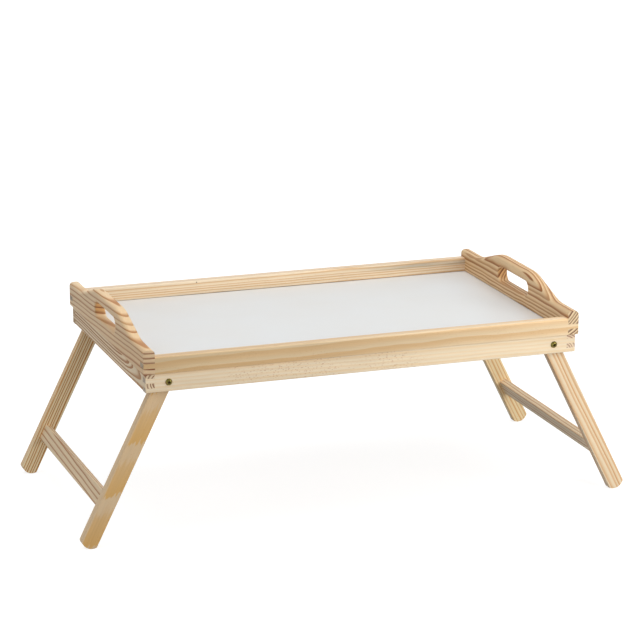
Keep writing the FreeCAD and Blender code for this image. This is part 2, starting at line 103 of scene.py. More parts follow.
# %% Colour and scale helpers
def linear(hex_colour):
    """Linear RGBA of an sRGB colour such as "#e8cfa6"."""
    channels = [int(hex_colour[i:i + 2], 16) / 255 for i in (1, 3, 5)]
    return tuple(
        c / 12.92 if c <= 0.04045 else ((c + 0.055) / 1.055) ** 2.4 for c in channels) + (1.0,)


def per_metre(*sizes_mm):
    """How often a pattern repeats in a metre along each axis, from its sizes in millimetres."""
    return tuple(1000 / size for size in sizes_mm)


print("white is", linear("#ffffff"), "and a 2 mm pattern has scale", per_metre(2)[0])

# %% [markdown]
# A material is a tree of nodes. Drawn by hand in the editor it soon becomes a tangle, but with
# one helper that adds a node with its settings and links, it reads from top to bottom as a
# recipe. Sockets go by name, or by number where several share a name. The values of a Math node
# are 0, 1 and 2. A colour Mix lays the colour OVER on the colour UNDER, by a SHARE from 0 to 1.
# A MapRange that is SMOOTH eases in and out, where a plain one has corners.

# %% Node helpers
SHARE, UNDER, OVER, MIXED = 0, 6, 7, 2
SMOOTH = {"interpolation_type": "SMOOTHSTEP"}


def add_node(tree, kind, settings=None, links=None, output=0):
    """Add a node: settings go to its properties or its inputs, links are sockets to join."""
    node = tree.nodes.new("ShaderNode" + kind)
    for name, value in (settings or {}).items():
        if isinstance(name, int) or name in node.inputs:
            node.inputs[name].default_value = value
        else:
            setattr(node, name, value)
    for name, socket in (links or {}).items():
        tree.links.new(socket, node.inputs[name])
    return node.outputs[output]


def new_material(name):
    """An empty material, with its tree and its shader, ready for nodes."""
    material = bpy.data.materials.new(name)
    material.use_nodes = True
    tree = material.node_tree
    tree.nodes.clear()
    shader = tree.nodes.new("ShaderNodeBsdfPrincipled")
    surface = tree.nodes.new("ShaderNodeOutputMaterial")
    tree.links.new(shader.outputs[0], surface.inputs[0])
    return material, tree, shader


print("a colour Mix has its share at", SHARE, "its colours at", UNDER, "and", OVER)

# %% [markdown]
# The boards are planed pine. A pine trunk is a stack of cones: each year adds a pale, soft
# layer that ends in a thin, hard, orange-brown one. A board is a straight cut through those
# cones, which is why one board shows straight lines, another shows flames, and every end shows
# arcs. A picture-like pattern on the faces could not line up at the edges. So the material is
# the trunk itself: it measures how far each point lies from the pith, the trunk's middle line,
# and each board only says where its pith runs. Faces, rounded edges, slots and end grain then
# agree by themselves.

# %% How one board was cut from its trunk
GOLDEN_SHARE = 0.38
GOLDEN_TINT = (1.03, 0.99, 0.9, 1.0)


class Cut:
    """Where a board lies in its trunk. Lengths are in millimetres, turns in degrees.

    centre and turn lay the grain's own axes in the tray: x along the board, y and z across it.
    pith is where the trunk's middle line passes, lean is its drift along the board, and bend
    moves it from one place to another. ring is a year's width and late the share of it that is
    hard. contrast is how dark that share gets, and waver how far the rings stray. tones tint
    the board's two ends. canals is how much the resin canals show, within canals_span. knot is
    a pin knot's place and radius. surfacing and stain are for the two boards that have them.
    seed makes every noise on the board its own.
    """

    def __init__(self, centre, turn, pith, lean=(0, 0), bend=(0, 100, 0, 0), ring=4.0,
                 contrast=0.6, late=0.35, waver=1.2, early="#ecd3ab", dark="#cf9f6b",
                 end_early="#d8bd97", end_dark="#8f5a38", tones=("#ffffff", "#ffffff"),
                 half_length=280, canals=0.2, canals_span=(-400, 400), knot=(0, 0, 0, 0),
                 surfacing=None, stain=None, roughness=0.55, seed=0.0):
        self.centre = Vector(centre) * MM
        self.turn = Euler([math.radians(angle) for angle in turn])
        self.pith = (0, pith[0] * MM, pith[1] * MM)
        self.lean = (0, lean[0], lean[1])
        self.bend_from, self.bend_to = bend[0] * MM, bend[1] * MM
        self.bend = (0, bend[2] * MM, bend[3] * MM)
        self.ring = ring * MM
        self.contrast, self.late, self.waver = contrast, late, waver * MM
        self.early, self.dark = linear(early), linear(dark)
        self.golden = [
            (pale * (1 - GOLDEN_SHARE) + hard * GOLDEN_SHARE) * tint
            for pale, hard, tint in zip(self.early, self.dark, GOLDEN_TINT)]
        self.end_early, self.end_dark = linear(end_early), linear(end_dark)
        self.tones = [linear(tone) for tone in tones]
        self.half_length, self.canals = half_length * MM, canals
        self.canals_from, self.canals_to = canals_span[0] * MM, canals_span[1] * MM
        self.knot, self.knot_radius = Vector(knot[:3]) * MM, knot[3] * MM
        self.surfacing, self.stain, self.roughness = surfacing, stain, roughness
        self.seed = seed


print(f"golden wood is {GOLDEN_SHARE:.0%} of the way from soft wood to hard")

# %% [markdown]
# The grain of a rail runs from left to right, that of an end board from front to rear, and that
# of a leg along the leg. Each is a turn of the grain's own axes. The legs stand splayed, so
# their turn holds the splay, once for each side.

# %% Which way the grain runs
FLAT = (0, 0, 0)
ACROSS = (0, 0, 90)
SPLAY = 26.4
LEFT_LEG = (0, 90 + SPLAY, 0)
RIGHT_LEG = (0, 90 - SPLAY, 0)
print("the grain of the legs leans", SPLAY, "degrees from upright")

# %% [markdown]
# First the material finds each point's distance from the pith. Blender's Wave texture could
# draw rings too, but they would be perfect circles round a straight line, and a real trunk is
# neither straight nor round. Here the pith leans and bends along the board, and two slow noises
# push it about: one for the swells of the trunk and one for small ripples. Each noise is drawn
# out along the grain, and shifted by the board's seed, so that no two boards are alike.

# %% Pine: distance from the pith
# length and width in millimetres, and strength
SWELLS = (111, 38.5, 4.0)
RIPPLES = (33.3, 11.1, 0.8)


def along_grain(tree, wood, cut, length_mm, width_mm):
    """Coordinates for a pattern of this size that follows the grain, and is the board's own."""
    scale = per_metre(length_mm, width_mm, width_mm)
    return add_node(
        tree, "VectorMath", {"operation": "MULTIPLY_ADD", 1: scale, 2: (cut.seed,) * 3},
        {0: wood})


def ring_radius(tree, wood, length, cut):
    """How far each point lies from the pith, as the trunk leans, bends and wavers."""
    section = add_node(tree, "VectorMath", {"operation": "MULTIPLY", 1: (0, 1, 1)}, {0: wood})
    lean = add_node(tree, "VectorMath", {"operation": "SCALE", 0: cut.lean}, {"Scale": length})
    section = add_node(tree, "VectorMath", {"operation": "SUBTRACT"}, {0: section, 1: lean})
    section = add_node(tree, "VectorMath", {"operation": "SUBTRACT", 1: cut.pith}, {0: section})
    along = add_node(
        tree, "MapRange", {**SMOOTH, "From Min": cut.bend_from, "From Max": cut.bend_to},
        {"Value": length})
    later = add_node(tree, "Math", {"operation": "POWER", 1: 3.0}, {0: along})
    bend = add_node(tree, "CombineXYZ", links={"Y": along, "Z": later})
    bend = add_node(tree, "VectorMath", {"operation": "MULTIPLY", 1: cut.bend}, {0: bend})
    section = add_node(tree, "VectorMath", {"operation": "SUBTRACT"}, {0: section, 1: bend})
    for length_mm, width_mm, strength in (SWELLS, RIPPLES):
        place = along_grain(tree, wood, cut, length_mm, width_mm)
        waver = add_node(
            tree, "TexNoise", {"Scale": 1.0, "Detail": 1.5, "Roughness": 0.4},
            {"Vector": place}, "Color")
        reach = cut.waver * strength
        waver = add_node(
            tree, "VectorMath", {"operation": "MULTIPLY_ADD", 1: (0, reach, reach),
                                 2: (0, -reach / 2, -reach / 2)}, {0: waver})
        section = add_node(tree, "VectorMath", {"operation": "ADD"}, {0: section, 1: waver})
    return add_node(tree, "VectorMath", {"operation": "LENGTH"}, {0: section}, "Value")


print("the rings swell over", SWELLS[0], "mm and ripple over", RIPPLES[0], "mm of grain")

# %% [markdown]
# Then that distance is counted in years. Within a year the wood starts soft and ends hard, and
# the step to the next spring is abrupt. A sine wave would fade alike on both sides of a line,
# so the hard band is made of a slow rise and a sudden drop. Every year also gets its own width
# and its own strength, as good and bad summers leave them.

# %% Pine: hard bands
UNEVEN_YEARS = 0.45
FAINTEST_BAND = 0.68
RISE_BEGINS, RISE_ENDS = 1.7, 0.45  # before the year's end, as shares of its hard part
DROP_BEGINS = 0.9  # as a share of the year


def hard_bands(tree, radius, cut):
    """0 in the soft wood of a year, rising to 1 in its hard band, with a sharp outer edge."""
    years = add_node(tree, "Math", {"operation": "DIVIDE", 1: cut.ring}, {0: radius})
    uneven = add_node(
        tree, "TexNoise", {"noise_dimensions": "1D", "Scale": UNEVEN_YEARS, "Detail": 1.0},
        {"W": years})
    years = add_node(tree, "Math", {"operation": "ADD"}, {0: years, 1: uneven})
    year = add_node(tree, "Math", {"operation": "FLOOR"}, {0: years})
    year = add_node(tree, "Math", {"operation": "ADD", 1: cut.seed}, {0: year})
    vigour = add_node(tree, "TexWhiteNoise", {"noise_dimensions": "1D"}, {"W": year})
    vigour = add_node(
        tree, "MapRange", {"To Min": FAINTEST_BAND, "To Max": 1.0}, {"Value": vigour})
    season = add_node(tree, "Math", {"operation": "FRACT"}, {0: years})
    rise = add_node(
        tree, "MapRange", {**SMOOTH, "From Min": 1 - cut.late * RISE_BEGINS,
                           "From Max": 1 - cut.late * RISE_ENDS}, {"Value": season})
    drop = add_node(
        tree, "MapRange", {**SMOOTH, "From Min": DROP_BEGINS, "From Max": 1.0,
                           "To Min": 1.0, "To Max": 0.0}, {"Value": season})
    band = add_node(tree, "Math", {"operation": "MULTIPLY"}, {0: rise, 1: drop})
    return add_node(tree, "Math", {"operation": "MULTIPLY"}, {0: band, 1: vigour})


print(f"the faintest hard band has {FAINTEST_BAND:.0%} of the strength of the boldest")

# %% [markdown]
# Planed softwood also shows fine fibres along the grain, and the short dark dashes of cut resin
# canals. Real fibres are a few hundredths of a millimetre wide and real canals about a fifth of
# one, so neither would show at the camera's distance. Both are drawn coarser: fibres about 1 mm
# wide, and dashes 0.7 mm wide and 2 mm long. The dashes are the middles of stretched Voronoi
# cells, and a slow noise lets them through only where they crowd.

# %% Pine: fibres and resin canals
# lengths and widths in millimetres
FIBRE = (45, 1.1)
CANAL_CELL = (4.35, 1.43)
CROWD = (71, 11.1)
CANAL_CORE, CANAL_RIM = 0.14, 0.3  # as shares of a cell
CROWD_EDGE = (0.42, 0.58)
CANALS_FADE = 40 * MM


def fibres_and_canals(tree, wood, cut):
    """Fine fibres, and dashes where resin canals are cut, each from 0 to 1."""
    fibre = add_node(
        tree, "TexNoise", {"Scale": 1.0, "Detail": 3.0, "Roughness": 0.6},
        {"Vector": along_grain(tree, wood, cut, *FIBRE)})
    canal = add_node(
        tree, "TexVoronoi", {"Scale": 1.0},
        {"Vector": along_grain(tree, wood, cut, *CANAL_CELL)})
    canal = add_node(
        tree, "MapRange", {"From Min": CANAL_CORE, "From Max": CANAL_RIM, "To Min": 1.0,
                           "To Max": 0.0}, {"Value": canal})
    crowd = add_node(
        tree, "TexNoise", {"Scale": 1.0, "Detail": 1.0},
        {"Vector": along_grain(tree, wood, cut, *CROWD)})
    crowd = add_node(
        tree, "MapRange", {"From Min": CROWD_EDGE[0], "From Max": CROWD_EDGE[1]},
        {"Value": crowd})
    canal = add_node(tree, "Math", {"operation": "MULTIPLY"}, {0: canal, 1: crowd})
    length = add_node(tree, "SeparateXYZ", links={0: wood})
    for edge, inwards in ((cut.canals_from, CANALS_FADE), (cut.canals_to, -CANALS_FADE)):
        inside = add_node(
            tree, "MapRange", {"From Min": edge, "From Max": edge + inwards}, {"Value": length})
        canal = add_node(tree, "Math", {"operation": "MULTIPLY"}, {0: canal, 1: inside})
    return fibre, canal


print("fibres are", FIBRE[1], "mm wide, and resin canals lie", CANAL_CELL[1], "mm apart")

# %% [markdown]
# One leg shows something else. Its front face lies almost along a hard band, so the band comes
# to the surface in three golden patches. Each one fades in and ends in ragged teeth, where the
# plane cut out through the band's hard outer edge. They slant, because the band lies a little
# askew, and the band also runs along the leg's inner edge. The trunk's cones would give this
# only with the pith set to a hundredth of a millimetre, so the patches are laid on.

# %% Pine: a hard band that surfaces in patches
TOOTH_GRAIN = (83.3, 3.85)
TOOTH_LENGTH = 34 * MM
SLANT = 0.75
# as shares of the way from one patch to the next
FADES_IN, DEEPENS, TEARS_OFF = (0.24, 0.42), (0.3, 0.95), (0.97, 1.0)
# across the leg, from its outer edge to its inner one
PALE_EDGE = (-10.0 * MM, -7.5 * MM)
GOLDEN_EDGE = (9.0 * MM, 10.2 * MM)


def surfacing_band(tree, wood, length, colour, cut):
    """Golden patches that end raggedly every so many millimetres along the board."""
    end, period, golden = cut.surfacing
    depth = add_node(tree, "SeparateXYZ", links={0: wood}, output="Y")
    across = tree.nodes[-1].outputs["Z"]
    ragged = add_node(
        tree, "TexNoise", {"Scale": 1.0, "Detail": 3.0, "Roughness": 0.6},
        {"Vector": along_grain(tree, wood, cut, *TOOTH_GRAIN)})
    place = add_node(
        tree, "Math", {"operation": "MULTIPLY_ADD", 1: TOOTH_LENGTH,
                       2: -end * MM - TOOTH_LENGTH / 2}, {0: ragged})
    place = add_node(tree, "Math", {"operation": "ADD"}, {0: place, 1: length})
    place = add_node(
        tree, "Math", {"operation": "MULTIPLY_ADD", 1: SLANT}, {0: across, 2: place})
    place = add_node(tree, "Math", {"operation": "DIVIDE", 1: period * MM}, {0: place})
    place = add_node(tree, "Math", {"operation": "FRACT"}, {0: place})
    patch = add_node(
        tree, "MapRange", {**SMOOTH, "From Min": FADES_IN[0], "From Max": FADES_IN[1]},
        {"Value": place})
    deepening = add_node(
        tree, "MapRange", {"From Min": DEEPENS[0], "From Max": DEEPENS[1], "To Min": 0.5},
        {"Value": place})
    tooth = add_node(
        tree, "MapRange", {"From Min": TEARS_OFF[0], "From Max": TEARS_OFF[1], "To Min": 1.0,
                           "To Max": 0.0}, {"Value": place})
    inside = add_node(
        tree, "MapRange", {**SMOOTH, "From Min": PALE_EDGE[0], "From Max": PALE_EDGE[1]},
        {"Value": across})
    edge = add_node(
        tree, "MapRange", {"From Min": GOLDEN_EDGE[0], "From Max": GOLDEN_EDGE[1],
                           "To Max": 0.7}, {"Value": across})
    front = add_node(tree, "Math", {"operation": "LESS_THAN", 1: 0.0}, {0: depth})
    for factor in (deepening, tooth, inside):
        patch = add_node(tree, "Math", {"operation": "MULTIPLY"}, {0: patch, 1: factor})
    patch = add_node(tree, "Math", {"operation": "MAXIMUM"}, {0: patch, 1: edge})
    patch = add_node(tree, "Math", {"operation": "MULTIPLY"}, {0: patch, 1: front})
    return add_node(
        tree, "Mix", {"data_type": "RGBA", OVER: linear(golden)},
        {SHARE: patch, UNDER: colour}, MIXED)


print(f"the teeth of a golden patch are up to {TOOTH_LENGTH / MM:.0f} mm long")

# %% [markdown]
# The rear rail has one more mark of real pine. A harmless fungus can colour the sapwood before
# the log is dry, and leaves grey streaks that follow the grain. Here they begin well right of
# the middle and stay just below the top of the rail. A multiplied tint darkens the wood and
# takes out its yellow, but keeps the rings under it, which a painted grey would cover. The
# fibres break it into streaks.

# %% Pine: stained sapwood
STAIN_TINT = "#cfd5dd"
STAIN_CORE, STAIN_REACH = 1.5 * MM, 5.0 * MM
STAIN_STREAKS = (0.38, 0.58)


def sapwood_stain(tree, wood, length, fibre, colour, cut):
    """Grey streaks in a band along a board, from one place to its end."""
    start, full, middle = cut.stain
    stain = add_node(
        tree, "MapRange", {**SMOOTH, "From Min": start * MM, "From Max": full * MM},
        {"Value": length})
    height = add_node(tree, "SeparateXYZ", links={0: wood}, output="Z")
    height = add_node(tree, "Math", {"operation": "SUBTRACT", 1: middle * MM}, {0: height})
    height = add_node(tree, "Math", {"operation": "ABSOLUTE"}, {0: height})
    band = add_node(
        tree, "MapRange", {**SMOOTH, "From Min": STAIN_CORE, "From Max": STAIN_REACH,
                           "To Min": 1.0, "To Max": 0.0}, {"Value": height})
    streaks = add_node(
        tree, "MapRange", {"From Min": STAIN_STREAKS[0], "From Max": STAIN_STREAKS[1],
                           "To Min": 0.4}, {"Value": fibre})
    for factor in (band, streaks):
        stain = add_node(tree, "Math", {"operation": "MULTIPLY"}, {0: stain, 1: factor})
    return add_node(
        tree, "Mix", {"data_type": "RGBA", "blend_type": "MULTIPLY", OVER: linear(STAIN_TINT)},
        {SHARE: stain, UNDER: colour}, MIXED)


print(f"the stain fades out {STAIN_REACH / MM:.0f} mm above and below its middle line")

# %% [markdown]
# End grain drinks the lacquer, so its hard bands turn a deep red-brown. The material tells end
# grain by the way the surface faces, along the grain or across it, which also gives a rounded
# edge the right change from one to the other. Inside a hand slot the end grain is sanded
# smooth, so near the middle of a board it keeps a golden tint.

# %% Pine: faces and end grain
END_GRAIN_FACING = (0.35, 0.95)
SLOT_REACH = (60 * MM, 120 * MM)
SANDED_SLOT = "#e0b47c"
EXTRA_END_CONTRAST = 0.25


def end_grain_share(tree, normal, cut):
    """1 where the surface faces along the grain, 0 where it faces across it."""
    grain = Vector((1, 0, 0))
    grain.rotate(cut.turn)
    facing = add_node(
        tree, "VectorMath", {"operation": "DOT_PRODUCT", 1: grain}, {0: normal}, "Value")
    facing = add_node(tree, "Math", {"operation": "ABSOLUTE"}, {0: facing})
    return add_node(
        tree, "MapRange", {**SMOOTH, "From Min": END_GRAIN_FACING[0],
                           "From Max": END_GRAIN_FACING[1]}, {"Value": facing})


def ring_colours(tree, length, band, end_grain, cut):
    """Soft wood and hard bands, coloured as faces or as end grain."""
    face_band = add_node(tree, "Math", {"operation": "MULTIPLY", 1: cut.contrast}, {0: band})
    face = add_node(tree, "ValToRGB", links={0: face_band})
    year = tree.nodes[-1].color_ramp.elements
    year[0].color, year[1].color = cut.early, cut.dark
    year.new(0.5).color = cut.golden
    beyond_slot = add_node(tree, "Math", {"operation": "ABSOLUTE"}, {0: length})
    beyond_slot = add_node(
        tree, "MapRange", {"From Min": SLOT_REACH[0], "From Max": SLOT_REACH[1]},
        {"Value": beyond_slot})
    end = add_node(
        tree, "Mix", {"data_type": "RGBA", OVER: cut.end_early, UNDER: linear(SANDED_SLOT)},
        {SHARE: beyond_slot}, MIXED)
    end_band = add_node(
        tree, "Math", {"operation": "MULTIPLY", 1: min(1, cut.contrast + EXTRA_END_CONTRAST)},
        {0: band})
    end = add_node(
        tree, "Mix", {"data_type": "RGBA", OVER: cut.end_dark},
        {SHARE: end_band, UNDER: end}, MIXED)
    return add_node(
        tree, "Mix", {"data_type": "RGBA"}, {SHARE: end_grain, UNDER: face, OVER: end}, MIXED)


print(f"the golden tint ends {SLOT_REACH[1] / MM:.0f} mm from the middle of a board")

# %% [markdown]
# No board has one even colour. Its tone drifts from end to end, broad streaks run through it,
# and the fibres shade it finely. All three multiply the colour, so the rings still show through
# them. A pin knot is the trace of a twig: a dark dot about 2 mm across, which the photograph
# shows once.

# %% Pine: tone, streaks and a pin knot
BROAD_STREAK = (200, 16.7)
STREAK_SHADES = (0.93, 1.06)
FIBRE_SHADES = (0.95, 1.04)
KNOT_COLOUR = "#5a3a22"


def tone_and_streaks(tree, wood, length, fibre, colour, cut):
    """A tone that drifts along the board, with broad streaks and fine fibres."""
    tone = add_node(
        tree, "MapRange", {"From Min": -cut.half_length, "From Max": cut.half_length},
        {"Value": length})
    tone = add_node(
        tree, "Mix", {"data_type": "RGBA", UNDER: cut.tones[0], OVER: cut.tones[1]},
        {SHARE: tone}, MIXED)
    colour = add_node(tree, "VectorMath", {"operation": "MULTIPLY"}, {0: colour, 1: tone})
    streaks = add_node(
        tree, "TexNoise", {"Scale": 1.0, "Detail": 2.0, "Roughness": 0.5},
        {"Vector": along_grain(tree, wood, cut, *BROAD_STREAK)})
    shades = [
        add_node(
            tree, "MapRange", {"From Min": 0.3, "From Max": 0.7, "To Min": darkest,
                               "To Max": lightest}, {"Value": noise})
        for noise, (darkest, lightest) in ((fibre, FIBRE_SHADES), (streaks, STREAK_SHADES))]
    shade = add_node(tree, "Math", {"operation": "MULTIPLY"}, {0: shades[0], 1: shades[1]})
    return add_node(tree, "VectorMath", {"operation": "SCALE"}, {0: colour, "Scale": shade})


def pin_knot(tree, wood, colour, cut):
    """A dark dot where the board's knot lies."""
    away = add_node(
        tree, "VectorMath", {"operation": "DISTANCE", 1: cut.knot}, {0: wood}, "Value")
    spot = add_node(
        tree, "MapRange", {"From Min": cut.knot_radius * 0.5, "From Max": cut.knot_radius,
                           "To Min": 0.85, "To Max": 0.0}, {"Value": away})
    return add_node(
        tree, "Mix", {"data_type": "RGBA", OVER: linear(KNOT_COLOUR)},
        {SHARE: spot, UNDER: colour}, MIXED)


print("broad streaks are", BROAD_STREAK[1], "mm wide")

# %% [markdown]
# The finish is a thin, clear, satin lacquer. It gives a soft gloss along the faces, and less of
# it on end grain, where it sinks in. A second, clear coat in the shader would be as even as
# glass, so the gloss is the wood's own, over a surface that the hard bands and fibres ripple.

# %% Pine: lacquer, and the whole material
END_GRAIN_ROUGHNESS = 0.78
LACQUER_IOR = 1.42
RIPPLE_HEIGHT = 0.12 * MM
CANAL_COLOUR = "#b8742e"


def lacquer(tree, shader, band, fibre, canal, end_grain, cut):
    """Satin lacquer, duller on end grain, over raised hard bands and sunk canals."""
    rough = add_node(
        tree, "MapRange", {"To Min": cut.roughness, "To Max": END_GRAIN_ROUGHNESS},
        {"Value": end_grain})
    tree.links.new(rough, shader.inputs["Roughness"])
    relief = add_node(tree, "Math", {"operation": "MULTIPLY_ADD", 1: 0.6}, {0: fibre, 2: band})
    relief = add_node(
        tree, "Math", {"operation": "MULTIPLY_ADD", 1: -0.3}, {0: canal, 2: relief})
    bump = add_node(
        tree, "Bump", {"Strength": 0.35, "Distance": RIPPLE_HEIGHT}, {"Height": relief})
    tree.links.new(bump, shader.inputs["Normal"])
    shader.inputs["IOR"].default_value = LACQUER_IOR


def pine(name, cut):
    """Lacquered pine, cut from its trunk as the cut says."""
    material, tree, shader = new_material(name)
    place = add_node(tree, "TexCoord", output="Object")
    normal = tree.nodes[-1].outputs["Normal"]
    wood = add_node(
        tree, "Mapping", {"vector_type": "TEXTURE", "Location": cut.centre,
                          "Rotation": cut.turn}, {"Vector": place})
    length = add_node(tree, "SeparateXYZ", links={0: wood})
    band = hard_bands(tree, ring_radius(tree, wood, length, cut), cut)
    fibre, canal = fibres_and_canals(tree, wood, cut)
    end_grain = end_grain_share(tree, normal, cut)
    colour = ring_colours(tree, length, band, end_grain, cut)
    if cut.surfacing:
        colour = surfacing_band(tree, wood, length, colour, cut)
    canal = add_node(tree, "Math", {"operation": "MULTIPLY", 1: cut.canals}, {0: canal})
    colour = add_node(
        tree, "Mix", {"data_type": "RGBA", OVER: linear(CANAL_COLOUR)},
        {SHARE: canal, UNDER: colour}, MIXED)
    if cut.stain:
        colour = sapwood_stain(tree, wood, length, fibre, colour, cut)
    colour = tone_and_streaks(tree, wood, length, fibre, colour, cut)
    if cut.knot_radius:
        colour = pin_knot(tree, wood, colour, cut)
    tree.links.new(colour, shader.inputs["Base Color"])
    lacquer(tree, shader, band, fibre, canal, end_grain, cut)
    return material


print(f"the lacquer's ripples are up to {RIPPLE_HEIGHT / MM:.2f} mm high")

# %% [markdown]
# Each board gets the cut that its faces and its end grain tell of. In the upper frame, the left
# end board's rings lie nearly level and far apart. The right one comes from close to the pith,
# so its front end shows steep arcs. The front rail is quiet and warms towards its right end.
# The rear rail is finely lined, and has the pin knot and the stain.

# %% Where the boards of the upper frame lay in their trunks
CUTS = {
    "left_end_board": Cut(
        (-273, 0, 239), ACROSS, pith=(-3, 44.2), lean=(0.0, -0.05), ring=6.3, contrast=1.0,
        late=0.34, waver=1.3, early="#f6ddb8", dark="#b4783c", end_early="#efdabd",
        end_dark="#8a5030", tones=("#f4e9da", "#fbf8f4"), half_length=175, seed=3.1),
    "right_end_board": Cut(
        (273, 0, 239), ACROSS, pith=(38.1, 26), ring=3.8, contrast=1.0, late=0.5, waver=1.7,
        early="#efd2a8", dark="#a0602c", end_early="#fae4c0", end_dark="#642810",
        tones=("#f4f0ea", "#f4f0ea"), half_length=175, seed=8.4),
    "front_rail": Cut(
        (0, -168, 224.5), FLAT, pith=(-60, -70), lean=(0.004, 0.008), ring=8.2, contrast=0.6,
        late=0.55, waver=1.8, early="#f6dfbc", dark="#d8aa76", end_early="#ddd0c0",
        end_dark="#bda58f", tones=("#e2dccf", "#faf8f6"), roughness=0.36, seed=1.7),
    "rear_rail": Cut(
        (0, 168, 224.5), FLAT, pith=(60, -60), lean=(0.0, 0.006), ring=2.7, contrast=0.8,
        late=0.42, waver=0.6, early="#f8e5c9", dark="#d29f6a", end_early="#cfc1b1",
        end_dark="#a8917f", tones=("#f3f1ee", "#f3f1ee"), knot=(-113, -7, 8.5, 1.1),
        stain=(95, 190, 5.5), roughness=0.4, seed=5.2),
}
print("upper frame:", ", ".join(CUTS))

# %% [markdown]
# In the lower frame, the front rail is the palest board, and shows dashes of resin canals over
# half its length. The left end piece follows a trunk that bends away under its outer face,
# which closes the lines into a flame. The other two boards are plain.

# %% Where the boards of the lower frame lay in their trunks
CUTS |= {
    "lower_front_rail": Cut(
        (0, -166, 202.5), FLAT, pith=(40, -80), lean=(0.002, -0.006), ring=4.5, contrast=0.4,
        late=0.5, waver=1.0, early="#f5e3c7", dark="#e0bd92", end_early="#d8c8b4",
        end_dark="#a8917f", canals=0.62, canals_span=(-215, 90), seed=2.9),
    "lower_rear_rail": Cut(
        (0, 166, 202.5), FLAT, pith=(-30, 70), lean=(0.003, 0.004), ring=4.0, contrast=0.5,
        late=0.4, waver=1.1, seed=6.6),
    "lower_left_end": Cut(
        (-271.5, 0, 202.5), ACROSS, pith=(4.5, 9.6), bend=(-20, -190, -17, -10), ring=3.7,
        contrast=1.3, late=0.42, waver=0.9, early="#f6e1bf", dark="#ab7236",
        end_early="#f2dcba", end_dark="#7a3a1a", half_length=175, seed=4.5),
    "lower_right_end": Cut(
        (271.5, 0, 202.5), ACROSS, pith=(12, -11), lean=(0.02, -0.02), ring=3.2,
        contrast=0.65, late=0.4, waver=1.2, end_early="#ecd6ba", end_dark="#86503a",
        half_length=175, seed=9.3),
}
print(len(CUTS), "boards with the lower frame")

# %% [markdown]
# The grain of a leg runs along the leg, so its cut is turned by the splay. The left front leg
# is the one with golden patches, the left rear leg is the most striped piece of all, and the
# two right legs are calmer. A stretcher's grain runs from front to rear.

# %% Where the legs and stretchers lay in their trunks
CUTS |= {
    "left_front_leg": Cut(
        (-298.4, -152.8, 102), LEFT_LEG, pith=(-70, 4), lean=(0.02, 0.01), ring=6.0,
        contrast=0.2, late=0.5, waver=2.0, early="#e6caa4", dark="#d9ae74",
        surfacing=(-25, 69, "#e1b470"), half_length=120, seed=7.7),
    "left_rear_leg": Cut(
        (-298.4, 152.8, 102), LEFT_LEG, pith=(60, 70), lean=(0.0, 0.01), ring=2.5,
        contrast=1.15, late=0.42, waver=0.5, early="#fde9c0", dark="#c07824",
        half_length=120, seed=2.2),
    "right_front_leg": Cut(
        (298.4, -152.8, 102), RIGHT_LEG, pith=(25, 70), lean=(0.0, 0.015), ring=4.6,
        contrast=0.9, late=0.5, waver=1.0, early="#f0dcbe", dark="#cc945c",
        half_length=120, seed=5.9),
    "right_rear_leg": Cut(
        (298.4, 152.8, 102), RIGHT_LEG, pith=(-30, 60), lean=(0.0, 0.01), ring=4.4,
        contrast=0.8, late=0.38, waver=0.9, early="#ffe8bc", dark="#dfa562",
        half_length=120, seed=1.1),
    "left_stretcher": Cut(
        (-322.7, 0, 53), ACROSS, pith=(30, 60), lean=(0.01, 0.01), ring=4.7, contrast=1.1,
        late=0.3, waver=0.5, early="#ecd4b0", dark="#a05c1c", half_length=147, seed=3.8),
    "right_stretcher": Cut(
        (322.7, 0, 53), ACROSS, pith=(-25, 50), lean=(0.01, 0.01), ring=3.6, contrast=0.9,
        late=0.38, waver=0.8, early="#fce8c8", dark="#cb9767", half_length=147, seed=6.1),
}
rings = [cut.ring / MM for cut in CUTS.values()]
print(f"{len(CUTS)} boards, with rings {min(rings):.1f} to {max(rings):.1f} mm wide")

# %% [markdown]
# A CAD node is a set of loose triangles with hard facets, and it must stay as it is. A merged
# copy of it can be finished like a real board: its flat faces become single faces again, its
# long sharp edges are broken with a fine plane, and its curved faces are shaded smooth. The
# weighted normals keep the broad faces flat while the small ones turn the light round the edge.

# %% Finish a copy of a CAD node
SAME_POINT = 0.001 * MM
SAME_PLANE = math.radians(0.4)
ARRIS = 0.45 * MM
LONG_EDGE = 25 * MM
SHARP_EDGE = math.radians(60)
SMOOTH_EDGE = math.radians(35)


def finished_copy(node, name, arris):
    """A smooth-shaded copy of a node, with its long sharp edges broken by the arris."""
    shape = bmesh.new()
    shape.from_mesh(frame["nodes"][node].data)
    bmesh.ops.remove_doubles(shape, verts=shape.verts, dist=SAME_POINT)
    bmesh.ops.dissolve_limit(
        shape, angle_limit=SAME_PLANE, verts=shape.verts, edges=shape.edges)
    if arris:
        sharp = [
            edge for edge in shape.edges
            if edge.is_manifold and edge.calc_length() > LONG_EDGE
            and edge.calc_face_angle_signed(0.0) > SHARP_EDGE]
        bmesh.ops.bevel(
            shape, geom=sharp, offset=arris, offset_type="OFFSET", segments=2, profile=0.5,
            affect="EDGES", clamp_overlap=True, material=-1)
    for face in shape.faces:
        face.smooth = True
    mesh = bpy.data.meshes.new(name)
    shape.to_mesh(mesh)
    shape.free()
    mesh.set_sharp_from_angle(angle=SMOOTH_EDGE)
    piece = bpy.data.objects.new(name, mesh)
    bpy.context.scene.collection.objects.link(piece)
    normals = piece.modifiers.new("flat_faces_stay_flat", "WEIGHTED_NORMAL")
    normals.keep_sharp = True
    return piece


print(f"edges longer than {LONG_EDGE / MM:.0f} mm are broken by {ARRIS / MM:.2f} mm")

